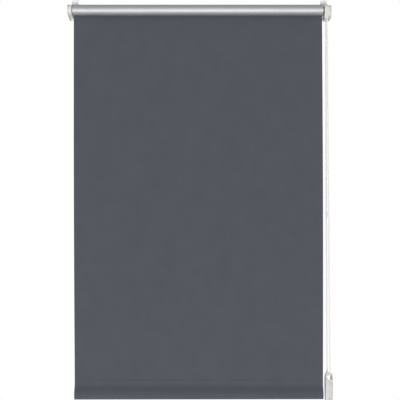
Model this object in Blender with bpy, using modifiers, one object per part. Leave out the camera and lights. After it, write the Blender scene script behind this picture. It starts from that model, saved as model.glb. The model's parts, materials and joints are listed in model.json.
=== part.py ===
"""Roller blind that clamps over the top of a window sash: two brackets, a chain drive, a spring pin
idle end, a cloth roll with its hanging sheet and weighted hem, and a bead chain with a pendant.

Frame: +X to the right, +Y towards the window, +Z up. The front face of the sash is the plane y = 0
and its top is z = 0, with the origin midway between the two brackets. Metres.
"""

import math

import bmesh
import bpy
from mathutils import Matrix, Vector

# ---- driving dimensions -------------------------------------------------------------------------
OVERALL_WIDTH = 0.600  # over both cover caps
AXIS_Y = -0.024  # roller axis, in front of the sash
AXIS_Z = -0.034  # roller axis, below the sash top
GAP = 0.0003  # clearance between neighbouring pieces

CLOTH_LEFT = -0.2885
CLOTH_RIGHT = 0.2815
CLOTH_THICKNESS = 0.0004
CLOTH_SKEW = 0.0022  # how far the hem hangs to the right of the roll
ROLL_RADIUS = 0.012  # outside of the cloth left on the tube
TUBE_RADIUS = 0.011
TUBE_WALL = 0.001
TUBE_INSET = 0.0018  # the tube ends this far inside the cloth at both ends
HEM_TOP_DROP = 0.8452  # weld line of the hem pocket, below the axis
HEM_BOTTOM_DROP = 0.8906
HEM_BAR_HEIGHT = 0.017
HEM_BAR_DEPTH = 0.012
HEM_BAR_WALL = 0.0009
HEM_CAP_THICKNESS = 0.0005
HEM_BAR_SHIFT = 0.0008  # the bar has slipped this far to the right in its pocket

CAP_THICKNESS = 0.003
IDLE_CHEEK_INNER_X = 0.2900  # distance from the middle of the blind
DRIVE_CHEEK_INNER_X = 0.2923
BASE_DEPTH = 0.007
BASE_INNER_X = 0.2715
BASE_TOP_RISE = 0.011
# Side profile of each bracket: nose radius, how far the nose, heel and base reach below the axis.
IDLE_SIDE = {"side": -1, "nose": 0.0118, "nose_drop": 0.0, "heel_drop": 0.0188, "base_drop": 0.0190}
DRIVE_SIDE = {"side": 1, "nose": 0.0106, "nose_drop": 0.007, "heel_drop": 0.0195, "base_drop": 0.0200}

STRAP_WIDTH = 0.0154
STRAP_X = 0.2865  # middle of the strap, each side
STRAP_THICKNESS = 0.0015
STRAP_FRONT_Y = -0.0034
STRAP_TOP = 0.013  # above the sash top
STRAP_FOOT_DROP = 0.013
STRAP_LEDGE = 0.009  # how far the strap's ledge lies over the sash
SASH_THICKNESS = 0.018  # with the jaw in the middle of its travel
JAW_WIDTH = 0.008
JAW_DROP = 0.014
PAD_THICKNESS = 0.002
PAD_MARGIN = 0.001  # how far a pad stays inside the edges of the steel behind it
SCREW_Z = 0.0082  # clamp screw, above the sash top
THREAD_RADIUS = 0.0020
EYE_RADIUS = 0.0023
CLAMP_HEAD = {"radius": 0.0042, "height": 0.0036, "chamfer": 0.0006}
LOCK_SCREW_Z = AXIS_Z - 0.004
LOCK_HEAD_RADIUS = 0.0028
LOCK_SHANK_RADIUS = 0.0015
NUT_SIZE = 0.0055

CHAIN_X = 0.2895  # plane of the chain wheel
BEAD_PITCH = 0.005
BEAD_RADIUS = 0.0019
WHEEL_BEADS = 12
PITCH_RADIUS = WHEEL_BEADS * BEAD_PITCH / math.tau
HOUSING_LEFT = 0.2840
HOUSING_RIGHT = DRIVE_CHEEK_INNER_X - GAP
HOUSING_RADIUS = 0.0129
HOUSING_INNER = 0.0119
HOUSING_GROOVE_DROP = 0.0186  # a shallow groove that sets off the chute below the housing
HOUSING_GROOVE = 0.0018
HOUSING_WALL = 0.0010
HOUSING_FOOT_DROP = 0.0232
CHAIN_EXIT_DROP = 0.0219
WHEEL_RADIUS = 0.0110
WHEEL_WIDTH = 0.0050
WHEEL_GROOVE = 0.0044
WHEEL_BORE = 0.0049
WHEEL_HUB_RADIUS = 0.0070
WHEEL_HUB_LEFT = 0.2790
CORE_LEFT = 0.2560
CORE_RADIUS = 0.0045
CORE_FLANGE_RADIUS = 0.0070
CORE_RECESS = 0.0010  # depth of the seat of the core's flange in the cheek
SPRING_RADIUS = 0.0053
SPRING_WIRE = 0.0004
CORE_SCREW_HEAD = 0.0042
CORE_SCREW_RADIUS = 0.0012
HUB_FLANGE_RADIUS = 0.0107
HUB_FLANGE = 0.0012
HUB_LEFT = 0.2530
HUB_RADIUS = 0.0090
HUB_BORE = 0.0076
HUB_RIBS = 4

PIN_RADIUS = 0.0030  # of the nose that sits in the left cheek
PIN_TIP_X = -0.2956
PIN_COLLAR_RADIUS = 0.0042
PIN_TAIL_RADIUS = 0.0020
PIN_TAIL_X = -0.2760
PLUG_END_X = -0.2600
PLUG_FLOOR_X = -0.2640
PLUG_STEP_X = -0.2880
PLUG_BORE = 0.0046
PLUG_RADIUS = 0.0097
PLUG_FLANGE_RADIUS = 0.0107
PLUG_FLANGE = 0.0015

PENDANT_X = 0.2950
PENDANT_TOP_DROP = 0.8262
PENDANT_TURN = math.radians(15)
PENDANT_WIDTH = 0.0166
PENDANT_DEPTH = 0.0108
PENDANT_HEIGHT = 0.075
HOOK_WALL = 0.0023
HOOK_ARCH = 0.0032
STRAND_SPREAD = 0.016  # between the two strands where they pass the pendant
BEND_CLEARANCE = 0.001  # under the hook's arch
BEND_SHIFT = -0.0009  # the chain hangs this far beside the middle of the hook
CONNECTOR_DROP = 0.465
CONNECTOR_LENGTH = 0.0137
CONNECTOR_INNER = 0.0022
CONNECTOR_RADIUS = 0.0026

CHEEK_OUTER_X = OVERALL_WIDTH / 2 - CAP_THICKNESS - GAP
HEM_LEFT = CLOTH_LEFT + CLOTH_SKEW
HEM_RIGHT = CLOTH_RIGHT + CLOTH_SKEW
SHEET_Y = AXIS_Y + ROLL_RADIUS + GAP + CLOTH_THICKNESS / 2
AXIS = Vector((0, AXIS_Y, AXIS_Z))
HEM_BAR_Z = AXIS_Z - HEM_BOTTOM_DROP + CLOTH_THICKNESS + GAP + HEM_BAR_HEIGHT / 2
HEM_BAR_Y = SHEET_Y - 0.0003

# ---- scene, collections and materials -----------------------------------------------------------
for old in list(bpy.data.objects):
    bpy.data.objects.remove(old)

parts = bpy.data.collections.new("roller_blind")
cutters = bpy.data.collections.new("cutters")
for group in (parts, cutters):
    bpy.context.scene.collection.children.link(group)
cutters.hide_render = True

FINISHES = {
    "white_plastic": ((0.80, 0.80, 0.77), 0.42, 0.0),
    "white_steel": ((0.74, 0.74, 0.73), 0.40, 0.1),
    "zinc_steel": ((0.62, 0.63, 0.64), 0.35, 1.0),
    "spring_steel": ((0.50, 0.50, 0.51), 0.30, 1.0),
    "rubber": ((0.05, 0.05, 0.05), 0.80, 0.0),
    "tube_aluminium": ((0.78, 0.79, 0.81), 0.30, 1.0),
    "silver_cloth": ((0.70, 0.71, 0.73), 0.35, 0.8),
    "grey_cloth": ((0.075, 0.085, 0.105), 0.90, 0.0),
    "grey_plastic": ((0.085, 0.095, 0.110), 0.55, 0.0),
    "chain_plastic": ((0.78, 0.78, 0.76), 0.38, 0.0),
    "pendant_plastic": ((0.70, 0.70, 0.68), 0.38, 0.0),
    "black_plastic": ((0.03, 0.03, 0.03), 0.50, 0.0),
}


def make_material(name):
    colour, roughness, metallic = FINISHES[name]
    material = bpy.data.materials.new(name)
    material.use_nodes = True
    shader = material.node_tree.nodes["Principled BSDF"]
    shader.inputs["Base Color"].default_value = (*colour, 1.0)
    shader.inputs["Roughness"].default_value = roughness
    shader.inputs["Metallic"].default_value = metallic
    return material


MATERIALS = {name: make_material(name) for name in FINISHES}


# ---- modelling helpers --------------------------------------------------------------------------
def finish_part(obj, finish):
    """Makes an object a visible part with its material, or a hidden cutter when finish is None."""
    if finish is None:
        cutters.objects.link(obj)
        obj.hide_render = True
        obj.display_type = "WIRE"
    else:
        parts.objects.link(obj)
        obj.data.materials.append(MATERIALS[finish])
    return obj


def shade(mesh):
    mesh.shade_smooth()
    mesh.set_sharp_from_angle(angle=math.radians(35))


def box(name, low, high, finish=None):
    """A box between two corners, with its origin at its middle."""
    low, high = Vector(low), Vector(high)
    mesh = bpy.data.meshes.new(name)
    shape = bmesh.new()
    bmesh.ops.create_cube(shape, size=1.0, matrix=Matrix.Diagonal((*(high - low), 1.0)))
    shape.to_mesh(mesh)
    shape.free()
    obj = bpy.data.objects.new(name, mesh)
    obj.location = (low + high) / 2
    return finish_part(obj, finish)


AXIS_TURNS = {
    "X": (0, math.pi / 2, 0),
    "Y": (-math.pi / 2, 0, 0),
    "Z": (0, 0, 0),
}


def turned(name, profile, origin, axis, steps, finish=None, closed=False):
    """A profile of (radius, distance along the axis), from the far end back, spun about the axis."""
    mesh = bpy.data.meshes.new(name)
    count = len(profile)
    edges = [(i, (i + 1) % count) for i in range(count if closed else count - 1)]
    mesh.from_pydata([(radius, 0, height) for radius, height in profile], edges, [])
    obj = bpy.data.objects.new(name, mesh)
    screw = obj.modifiers.new("spin", "SCREW")
    screw.steps = screw.render_steps = steps
    screw.use_merge_vertices = True
    screw.merge_threshold = 0.00001
    screw.use_smooth_shade = True
    obj.location = origin
    obj.rotation_euler = AXIS_TURNS[axis]
    return finish_part(obj, finish)


def cylinder(name, radius, start, end, origin, axis, steps=32, finish=None):
    profile = [(0, end), (radius, end), (radius, start), (0, start)]
    return turned(name, profile, origin, axis, steps, finish)


def ring(name, inner, outer, start, end, origin, axis, steps=32, finish=None):
    profile = [(outer, end), (outer, start), (inner, start), (inner, end)]
    return turned(name, profile, origin, axis, steps, finish, closed=True)


def boolean(obj, tool, operation="DIFFERENCE"):
    modifier = obj.modifiers.new(operation.lower(), "BOOLEAN")
    modifier.operation = operation
    modifier.object = tool
    return obj


def soften(obj, width, segments=2):
    modifier = obj.modifiers.new("edges", "BEVEL")
    modifier.width = width
    modifier.segments = segments
    modifier.limit_method = "ANGLE"
    modifier.angle_limit = math.radians(40)
    return obj


def mesh_from_curve(curve_obj, finish):
    """Turns a curve object into a welded mesh object of the same name and place."""
    bpy.context.scene.collection.objects.link(curve_obj)
    bpy.context.view_layer.update()
    graph = bpy.context.evaluated_depsgraph_get()
    mesh = bpy.data.meshes.new_from_object(curve_obj.evaluated_get(graph))
    shape = bmesh.new()
    shape.from_mesh(mesh)
    bmesh.ops.remove_doubles(shape, verts=shape.verts, dist=0.000001)
    shape.to_mesh(mesh)
    shape.free()
    shade(mesh)
    name, place = curve_obj.name, curve_obj.matrix_world.copy()
    bpy.data.objects.remove(curve_obj)
    obj = bpy.data.objects.new(name, mesh)
    obj.matrix_world = place
    return finish_part(obj, finish)


PLANE_TURNS = {"YZ": (math.pi / 2, 0, math.pi / 2), "XZ": (math.pi / 2, 0, 0)}


def plate(name, outline, plane, start, end, finish=None):
    """A closed outline in the YZ or XZ plane, extruded from start to end across that plane."""
    curve = bpy.data.curves.new(name, "CURVE")
    curve.dimensions = "2D"
    curve.fill_mode = "BOTH"
    curve.extrude = (end - start) / 2
    spline = curve.splines.new("POLY")
    spline.points.add(len(outline) - 1)
    for point, (across, up) in zip(spline.points, outline):
        point.co = (across, up, 0, 1)
    spline.use_cyclic_u = True
    obj = bpy.data.objects.new(name, curve)
    obj.rotation_euler = PLANE_TURNS[plane]
    middle = (start + end) / 2
    obj.location = (middle, 0, 0) if plane == "YZ" else (0, middle, 0)
    return mesh_from_curve(obj, finish)


def arc(across, up, radius, start_deg, end_deg, steps=8, squash=1.0):
    """Points on an arc, with its first direction scaled by squash."""
    points = []
    for i in range(steps + 1):
        angle = math.radians(start_deg + (end_deg - start_deg) * i / steps)
        points.append((across + squash * radius * math.cos(angle), up + radius * math.sin(angle)))
    return points


def wire(name, points, radius, finish, resolution=2):
    """A round wire or cord through the given points, with closed ends."""
    curve = bpy.data.curves.new(name, "CURVE")
    curve.dimensions = "3D"
    curve.bevel_depth = radius
    curve.bevel_resolution = resolution
    curve.use_fill_caps = True
    spline = curve.splines.new("POLY")
    spline.points.add(len(points) - 1)
    for point, place in zip(spline.points, points):
        point.co = (*place, 1)
    return finish_part(bpy.data.objects.new(name, curve), finish)


def coil(name, radius, wire_radius, start_x, end_x, turns, finish):
    """A coil spring about the roller axis."""
    steps = 10 * turns
    points = []
    for i in range(steps + 1):
        angle = math.tau * turns * i / steps
        x = start_x + (end_x - start_x) * i / steps
        points.append((x, AXIS_Y + radius * math.cos(angle), AXIS_Z + radius * math.sin(angle)))
    return wire(name, points, wire_radius, finish)


# ---- brackets -----------------------------------------------------------------------------------
def cheek_outline(nose, nose_drop, heel_drop):
    """Side outline of a cheek: a round nose, and an underside that slopes down to the sash."""
    front = arc(AXIS_Y, AXIS_Z, nose, 90, 180)
    under = arc(AXIS_Y, AXIS_Z - nose_drop, nose, 180, 270)
    if nose_drop == 0:
        under = under[1:]
    rear_y = -0.0002
    top = (rear_y, AXIS_Z + BASE_TOP_RISE + 0.0005)
    return front + under + [(rear_y, AXIS_Z - heel_drop), top]


def between(side, inner, outer):
    """The low and high X of a span that is given by its distances from the middle of the blind."""
    return (inner, outer) if side > 0 else (-outer, -inner)


def bracket(prefix, side, cheek_inner, nose, nose_drop, heel_drop, base_drop):
    """The base that slides on the strap, with the cheek that carries one end of the roller."""
    outline = cheek_outline(nose, nose_drop, heel_drop)
    low_x, high_x = between(side, cheek_inner, CHEEK_OUTER_X)
    obj = plate(f"{prefix}_bracket", outline, "YZ", low_x, high_x, "white_plastic")
    low_x, high_x = between(side, BASE_INNER_X, CHEEK_OUTER_X - 0.0010)
    low = (low_x, -BASE_DEPTH, AXIS_Z - base_drop)
    base = box(f"{prefix}_base_join", low, (high_x, 0, AXIS_Z + BASE_TOP_RISE))
    soften(base, 0.0008)
    boolean(obj, base, "UNION")
    low_x, high_x = between(side, STRAP_X - STRAP_WIDTH / 2, STRAP_X + STRAP_WIDTH / 2)
    channel_low = (low_x - GAP, STRAP_FRONT_Y - GAP, AXIS_Z - 0.04)
    channel = box(f"{prefix}_channel_cut", channel_low, (high_x + GAP, 0.01, AXIS_Z + 0.04))
    boolean(obj, channel)
    sink = [(0, 0.005), (0.0018, 0.005), (0.0018, 0.0013), (0.0031, -0.0001)]
    sink += [(0.0031, -0.001), (0, -0.001)]
    place = (side * STRAP_X, -BASE_DEPTH, LOCK_SCREW_Z)
    boolean(obj, turned(f"{prefix}_sink_cut", sink, place, "Y", 16))
    return obj


def cover_cap(prefix, side, nose, nose_drop, heel_drop):
    """The trim that closes the outside of a cheek."""
    low_x, high_x = between(side, CHEEK_OUTER_X + GAP, OVERALL_WIDTH / 2)
    outline = cheek_outline(nose, nose_drop, heel_drop)
    obj = plate(f"{prefix}_cover_cap", outline, "YZ", low_x, high_x, "white_plastic")
    return soften(obj, 0.0009)


def strap(prefix, side):
    """The steel strap: a long leg, a ledge that rests on the sash, and an eye for the screw."""
    front = STRAP_FRONT_Y
    rear = STRAP_FRONT_Y + STRAP_THICKNESS
    foot = AXIS_Z - STRAP_FOOT_DROP
    outline = [(front, foot), (rear, foot), (rear, 0), (STRAP_LEDGE, 0)]
    outline += [(STRAP_LEDGE, STRAP_THICKNESS), (rear, STRAP_THICKNESS)]
    outline += [(rear, STRAP_TOP), (front, STRAP_TOP)]
    half = STRAP_WIDTH / 2
    middle = side * STRAP_X
    obj = plate(f"{prefix}_hook_strap", outline, "YZ", middle - half, middle + half, "white_steel")
    hole = cylinder(f"{prefix}_eye_cut", EYE_RADIUS, -0.002, 0.004, (middle, front, SCREW_Z), "Y", 20)
    boolean(obj, hole)
    slot_low = (middle - 0.0018, front - 0.002, LOCK_SCREW_Z - 0.005)
    slot_high = (middle + 0.0018, rear + 0.002, LOCK_SCREW_Z + 0.005)
    boolean(obj, box(f"{prefix}_slot_cut", slot_low, slot_high))
    return obj


def strap_fixings(prefix, side):
    """The countersunk screw and the square nut that lock a bracket to its strap."""
    place = Vector((side * STRAP_X, -BASE_DEPTH, LOCK_SCREW_Z))
    length = BASE_DEPTH - 0.0004
    profile = [(0, length), (LOCK_SHANK_RADIUS, length), (LOCK_SHANK_RADIUS, 0.0014)]
    profile += [(LOCK_HEAD_RADIUS, 0.0001), (0, 0.0001)]
    screw = turned(f"{prefix}_strap_screw", profile, place, "Y", 16, "zinc_steel")
    drive_half = Vector((0.0018, 0.0007, 0.0003))
    boolean(screw, box(f"{prefix}_drive_cut", place - drive_half, place + drive_half))
    half = NUT_SIZE / 2
    rear = STRAP_FRONT_Y + STRAP_THICKNESS + GAP
    nut = box(f"{prefix}_strap_nut", (place.x - half, rear, place.z - half),
              (place.x + half, rear + 0.0013, place.z + half), "zinc_steel")
    boolean(nut, cylinder(f"{prefix}_nut_cut", LOCK_SHANK_RADIUS + GAP, 0, 0.012, place, "Y", 16))


def clamp_jaw(prefix, middle):
    """The jaw that slides over the ledge: an arm, a leg behind the sash, and a threaded lug."""
    leg_front = SASH_THICKNESS + PAD_THICKNESS
    leg_rear = leg_front + STRAP_THICKNESS
    under = STRAP_THICKNESS + GAP
    over = under + STRAP_THICKNESS
    arm_front = 0.004
    outline = [(arm_front, under), (leg_front, under), (leg_front, -JAW_DROP), (leg_rear, -JAW_DROP)]
    outline += [(leg_rear, over), (arm_front, over)]
    half = JAW_WIDTH / 2
    jaw = plate(f"{prefix}_clamp_jaw", outline, "YZ", middle - half, middle + half, "white_steel")
    lug = box(f"{prefix}_lug_join", (middle - half + 0.0001, 0.008, over - 0.0006),
              (middle + half - 0.0001, 0.013, SCREW_Z + 0.0048))
    boolean(jaw, lug, "UNION")
    thread = cylinder(f"{prefix}_thread_cut", EYE_RADIUS, 0.005, 0.020, (middle, 0, SCREW_Z), "Y", 20)
    boolean(jaw, thread)


def clamp_screw(prefix, middle):
    """The clamp screw with a slotted cheese head, and the clip that keeps it in the strap's eye."""
    place = Vector((middle, STRAP_FRONT_Y - GAP, SCREW_Z))
    head, height, chamfer = CLAMP_HEAD["radius"], CLAMP_HEAD["height"], CLAMP_HEAD["chamfer"]
    length = 0.0225
    profile = [(0, length), (THREAD_RADIUS, length), (THREAD_RADIUS, 0), (head, 0)]
    profile += [(head, chamfer - height), (head - chamfer, -height), (0, -height)]
    screw = turned(f"{prefix}_clamp_screw", profile, place, "Y", 24, "zinc_steel")
    slot_middle = place + Vector((0, -height, 0))
    slot_half = Vector((0.0030, 0.0010, 0.0004))
    slot = box(f"{prefix}_clamp_drive_cut", slot_middle - slot_half, slot_middle + slot_half)
    boolean(screw, slot)
    clip_y = STRAP_FRONT_Y + STRAP_THICKNESS + GAP
    ring(f"{prefix}_clamp_clip", EYE_RADIUS, 0.0034, 0, 0.0008, (middle, clip_y, SCREW_Z), "Y", 20,
         "spring_steel")


def clamp_pads(prefix, middle):
    """The two rubber pads that grip the sash."""
    half = STRAP_WIDTH / 2 - PAD_MARGIN
    front_y = STRAP_FRONT_Y + STRAP_THICKNESS + GAP
    front = box(f"{prefix}_front_pad", (middle - half, front_y, -0.020),
                (middle + half, 0, -0.002), "rubber")
    soften(front, 0.0004, 1)
    half = JAW_WIDTH / 2 - PAD_MARGIN / 2
    rear = box(f"{prefix}_rear_pad", (middle - half, SASH_THICKNESS, PAD_MARGIN - JAW_DROP),
               (middle + half, SASH_THICKNESS + PAD_THICKNESS - GAP, -0.002), "rubber")
    soften(rear, 0.0004, 1)


for prefix, shape, cheek_inner in (("left", IDLE_SIDE, IDLE_CHEEK_INNER_X),
                                   ("right", DRIVE_SIDE, DRIVE_CHEEK_INNER_X)):
    body = bracket(prefix, cheek_inner=cheek_inner, **shape)
    cover_cap(prefix, shape["side"], shape["nose"], shape["nose_drop"], shape["heel_drop"])
    strap(prefix, shape["side"])
    strap_fixings(prefix, shape["side"])
    strap_middle = shape["side"] * STRAP_X
    clamp_jaw(prefix, strap_middle)
    clamp_screw(prefix, strap_middle)
    clamp_pads(prefix, strap_middle)
    if prefix == "left":
        pin_seat = PIN_RADIUS + 0.0004
        boolean(body, cylinder("idle_hole_cut", pin_seat, -0.31, -0.28, AXIS, "X", 32))
    else:
        recess = cylinder("core_recess_cut", CORE_FLANGE_RADIUS + GAP, cheek_inner - 0.002,
                          cheek_inner + CORE_RECESS, AXIS, "X", 32)
        boolean(body, recess)
        half = 0.0033
        low = Vector((cheek_inner - 0.002, AXIS_Y - half, AXIS_Z - half))
        high = Vector((CHEEK_OUTER_X + 0.002, AXIS_Y + half, AXIS_Z + half))
        boolean(body, box("tenon_hole_cut", low, high))


# ---- chain drive --------------------------------------------------------------------------------
def chain_housing():
    """A cup over the chain wheel, open to the cheek and below, with a chute for both strands."""
    obj = cylinder("chain_housing", HOUSING_RADIUS, HOUSING_LEFT, HOUSING_RIGHT, AXIS, "X", 40,
                   "white_plastic")
    chute = box("chute_join", (HOUSING_LEFT + 0.0002, AXIS_Y - HOUSING_RADIUS + 0.0001,
                               AXIS_Z - HOUSING_FOOT_DROP),
                (HOUSING_RIGHT - 0.0002, AXIS_Y + HOUSING_RADIUS - 0.0001, AXIS_Z))
    boolean(obj, chute, "UNION")
    inner_left = HOUSING_LEFT + HOUSING_WALL
    boolean(obj, cylinder("housing_cut", HOUSING_INNER, inner_left, 0.30, AXIS, "X", 40))
    inner = HOUSING_INNER - 0.0001
    boolean(obj, box("chute_cut", (inner_left + 0.0001, AXIS_Y - inner, AXIS_Z - 0.04),
                     (0.30, AXIS_Y + inner, AXIS_Z - 0.0005)))
    boolean(obj, cylinder("hub_cut", WHEEL_HUB_RADIUS + 0.0005, 0.28, 0.29, AXIS, "X", 32))
    groove_low = (0.28, AXIS_Y - 0.02, AXIS_Z - HOUSING_GROOVE_DROP - HOUSING_GROOVE)
    groove_high = (0.30, AXIS_Y - HOUSING_RADIUS + 0.0005, AXIS_Z - HOUSING_GROOVE_DROP)
    boolean(obj, box("groove_cut", groove_low, groove_high))
    return obj


def clutch_core():
    """The fixed spindle that the springs grip, with its square tenon in the right cheek."""
    flange = DRIVE_CHEEK_INNER_X + CORE_RECESS - GAP
    step = CHAIN_X + WHEEL_WIDTH / 2 + GAP
    profile = [(0, flange), (CORE_FLANGE_RADIUS, flange), (CORE_FLANGE_RADIUS, step)]
    profile += [(CORE_RADIUS, step)]
    profile += [(CORE_RADIUS, CORE_LEFT), (0, CORE_LEFT)]
    obj = turned("clutch_core", profile, AXIS, "X", 32, "black_plastic")
    half = 0.0030
    tenon = box("tenon_join", (step + 0.0002, AXIS_Y - half, AXIS_Z - half),
                (CHEEK_OUTER_X, AXIS_Y + half, AXIS_Z + half))
    boolean(obj, tenon, "UNION")
    bore = CORE_SCREW_RADIUS + GAP
    boolean(obj, cylinder("core_bore_cut", bore, CORE_LEFT - 0.006, CORE_LEFT + 0.014, AXIS, "X", 16))
    return obj


def core_screw():
    """The screw and its broad head, which keep the drive hub on the core."""
    tip, seat = CORE_LEFT + 0.0085, CORE_LEFT - GAP
    face = seat - 0.0047
    profile = [(0, tip), (CORE_SCREW_RADIUS, tip), (CORE_SCREW_RADIUS, seat), (CORE_SCREW_HEAD, seat)]
    profile += [(CORE_SCREW_HEAD, face + 0.0011), (CORE_SCREW_HEAD - 0.0008, face), (0, face)]
    return turned("core_screw", profile, AXIS, "X", 20, "zinc_steel")


def chain_wheel():
    """The pulley for the bead chain, with a hollow hub that reaches into the drive sleeve."""
    left, right = CHAIN_X - WHEEL_WIDTH / 2, CHAIN_X + WHEEL_WIDTH / 2
    groove = WHEEL_GROOVE / 2
    slope = 0.0002
    floor = PITCH_RADIUS - BEAD_RADIUS - GAP
    profile = [(WHEEL_RADIUS, right), (WHEEL_RADIUS, CHAIN_X + groove), (floor, CHAIN_X + groove - slope)]
    profile += [(floor, CHAIN_X - groove + slope), (WHEEL_RADIUS, CHAIN_X - groove)]
    profile += [(WHEEL_RADIUS, left), (WHEEL_HUB_RADIUS, left), (WHEEL_HUB_RADIUS, WHEEL_HUB_LEFT)]
    profile += [(WHEEL_BORE, WHEEL_HUB_LEFT), (WHEEL_BORE, right)]
    return turned("chain_wheel", profile, AXIS, "X", 42, "grey_plastic", closed=True)


def drive_hub():
    """The sleeve that the springs turn: a flange at the tube's end and ribs inside the tube."""
    flange_left = CLOTH_RIGHT - TUBE_INSET + GAP
    flange_right = flange_left + HUB_FLANGE
    lip = 0.0050  # the sleeve's end closes in to this radius round the core screw
    floor = HUB_LEFT + 0.0020
    profile = [(HUB_FLANGE_RADIUS, flange_right), (HUB_FLANGE_RADIUS, flange_left)]
    profile += [(HUB_RADIUS, flange_left), (HUB_RADIUS, HUB_LEFT), (lip, HUB_LEFT), (lip, floor)]
    profile += [(HUB_BORE, floor), (HUB_BORE, flange_right)]
    obj = turned("drive_hub", profile, AXIS, "X", 32, "white_plastic", closed=True)
    for i in range(HUB_RIBS):
        angle = math.tau * (i + 0.5) / HUB_RIBS
        low = (HUB_LEFT + 0.0015, -0.0008, HUB_RADIUS - 0.0006)
        high = (flange_left - 0.0005, 0.0008, TUBE_RADIUS - TUBE_WALL - GAP)
        rib = box(f"rib_{i}_join", low, high)
        turn = Matrix.Rotation(angle, 4, "X")
        rib.matrix_world = Matrix.Translation(AXIS) @ turn @ Matrix.Translation(rib.location)
        boolean(obj, rib, "UNION")
    return obj


chain_housing()
clutch_core()
chain_wheel()
drive_hub()
core_screw()
for name, start in (("brake_spring_inner", 0.2575), ("brake_spring_outer", 0.2685)):
    coil(name, SPRING_RADIUS, SPRING_WIRE, start, start + 0.0090, 5, "spring_steel")

# ---- roller -------------------------------------------------------------------------------------
ring("roller_tube", TUBE_RADIUS - TUBE_WALL, TUBE_RADIUS, CLOTH_LEFT + TUBE_INSET,
     CLOTH_RIGHT - TUBE_INSET, AXIS, "X", 48, "tube_aluminium")
ring("cloth_roll", TUBE_RADIUS + GAP, ROLL_RADIUS, CLOTH_LEFT, CLOTH_RIGHT, AXIS, "X", 48,
     "silver_cloth")


def idle_plug():
    """The plug in the left end of the tube, with the stepped bore of the spring pin."""
    flange = CLOTH_LEFT + TUBE_INSET - GAP
    face = flange - PLUG_FLANGE
    nose_bore = PIN_RADIUS + 0.0004
    profile = [(0, PLUG_END_X), (PLUG_RADIUS, PLUG_END_X), (PLUG_RADIUS, flange)]
    profile += [(PLUG_FLANGE_RADIUS, flange), (PLUG_FLANGE_RADIUS, face), (nose_bore, face)]
    profile += [(nose_bore, PLUG_STEP_X), (PLUG_BORE, PLUG_STEP_X), (PLUG_BORE, PLUG_FLOOR_X)]
    profile += [(0, PLUG_FLOOR_X)]
    return turned("idle_plug", profile, AXIS, "X", 32, "white_plastic")


def idle_pin():
    """The spring pin: a tail inside the spring, a collar, and a nose for the left cheek."""
    collar_left, collar_right = PLUG_STEP_X + 0.0004, PLUG_STEP_X + 0.0018
    chamfer = 0.0006
    profile = [(0, PIN_TAIL_X), (PIN_TAIL_RADIUS, PIN_TAIL_X), (PIN_TAIL_RADIUS, collar_right)]
    profile += [(PIN_COLLAR_RADIUS, collar_right), (PIN_COLLAR_RADIUS, collar_left)]
    profile += [(PIN_RADIUS, collar_left), (PIN_RADIUS, PIN_TIP_X + chamfer)]
    profile += [(PIN_RADIUS - chamfer, PIN_TIP_X), (0, PIN_TIP_X)]
    return turned("idle_pin", profile, AXIS, "X", 28, "white_plastic")


idle_plug()
idle_pin()
coil("idle_spring", 0.0033, 0.00035, -0.2854, PLUG_FLOOR_X - 0.0008, 8, "spring_steel")

# ---- cloth sheet and hem ------------------------------------------------------------------------
sheet_low = (CLOTH_LEFT, SHEET_Y - CLOTH_THICKNESS / 2, AXIS_Z - HEM_TOP_DROP + GAP)
sheet_high = (CLOTH_RIGHT, SHEET_Y + CLOTH_THICKNESS / 2, AXIS_Z)
sheet = box("cloth_sheet", sheet_low, sheet_high, "grey_cloth")
for corner in sheet.data.vertices:
    if corner.co.z < 0:
        corner.co.x += CLOTH_SKEW


def hem_section(grow, top_z, top_half):
    """Section of the hem pocket: narrow at the weld, and an oval round the bar below."""
    squash = (HEM_BAR_DEPTH / 2 + grow) / (HEM_BAR_HEIGHT / 2 + grow)
    radius = HEM_BAR_HEIGHT / 2 + grow
    oval = arc(HEM_BAR_Y, HEM_BAR_Z, radius, 150, 390, 20, squash)
    return oval + [(SHEET_Y + top_half, top_z), (SHEET_Y - top_half, top_z)]


def hem_pocket():
    """The cloth pocket, open at both ends and closed above by its weld."""
    weld_z = AXIS_Z - HEM_TOP_DROP
    outer = hem_section(GAP + CLOTH_THICKNESS, weld_z, 0.0008)
    pocket = plate("hem_pocket", outer, "YZ", HEM_LEFT, HEM_RIGHT, "grey_cloth")
    hollow = hem_section(GAP, weld_z - 0.0030, 0.0004)
    boolean(pocket, plate("pocket_cut", hollow, "YZ", HEM_LEFT - 0.01, HEM_RIGHT + 0.01))


def hem_oval(grow):
    squash = (HEM_BAR_DEPTH / 2 + grow) / (HEM_BAR_HEIGHT / 2 + grow)
    return arc(HEM_BAR_Y, HEM_BAR_Z, HEM_BAR_HEIGHT / 2 + grow, 0, 345, 23, squash)


def hem_bar():
    bar = plate("hem_bar", hem_oval(0), "YZ", HEM_LEFT + HEM_BAR_SHIFT, HEM_RIGHT, "tube_aluminium")
    boolean(bar, plate("bar_cut", hem_oval(-HEM_BAR_WALL), "YZ", HEM_LEFT - 0.01, HEM_RIGHT + 0.01))


def hem_cap(prefix, side, end_x):
    """A thin cap on one end of the bar, with a spigot inside the bar."""
    low_x, high_x = sorted((end_x + side * GAP, end_x + side * (GAP + HEM_CAP_THICKNESS)))
    cap = plate(f"{prefix}_hem_cap", hem_oval(0), "YZ", low_x, high_x, "grey_plastic")
    low_x, high_x = sorted((end_x + side * (GAP + HEM_CAP_THICKNESS / 2), end_x - side * 0.008))
    spigot = plate(f"{prefix}_spigot_join", hem_oval(-HEM_BAR_WALL - GAP), "YZ", low_x, high_x)
    boolean(cap, spigot, "UNION")


hem_pocket()
hem_bar()
hem_cap("left", -1, HEM_LEFT + HEM_BAR_SHIFT)
hem_cap("right", 1, HEM_RIGHT)


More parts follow.
